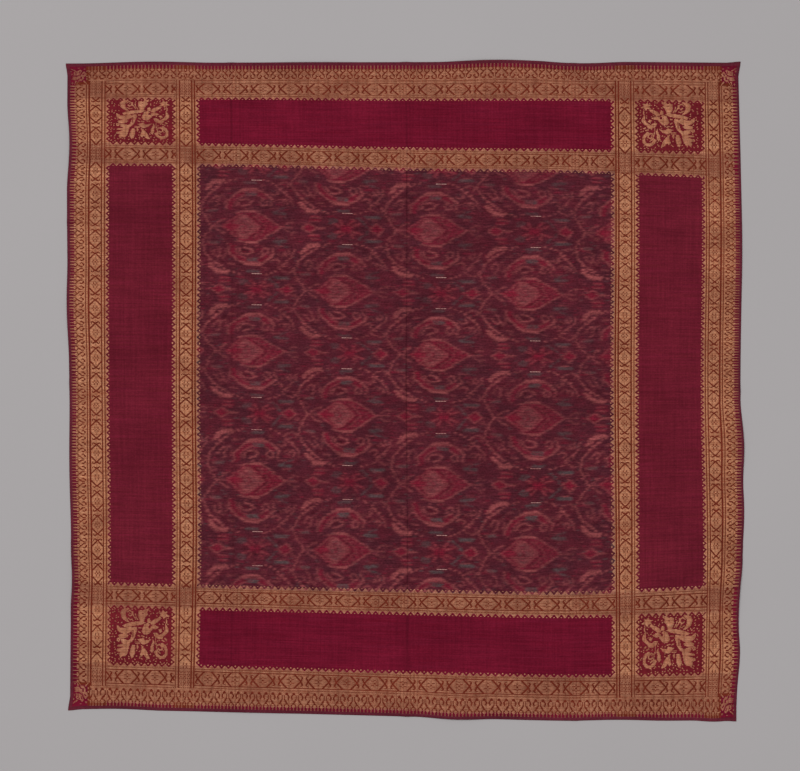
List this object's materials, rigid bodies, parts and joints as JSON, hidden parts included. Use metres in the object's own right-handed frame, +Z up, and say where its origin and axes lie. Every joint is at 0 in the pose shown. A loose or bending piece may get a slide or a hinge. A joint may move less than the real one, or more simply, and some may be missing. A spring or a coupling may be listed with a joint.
{
  "type": "square brocaded silk headcloth",
  "caption": "Square silk headcloth with a dyed field, plain red panels and gold brocade bands, lying flat.",
  "frame": {"origin": "centre of the cloth's box, on the surface it lies on", "axes": "+X along the cloth's longer side, to the right seen from above; +Y to its far side; +Z up, out of the cloth's face"},
  "size_m": [0.8894, 0.8677, 0.0044],
  "materials": {
    "silk": "woven silk, deep red, with a dyed field and gold thread brocade"
  },
  "bodies": {
    "root": {"headcloth": "silk"}
  },
  "joints": []
}
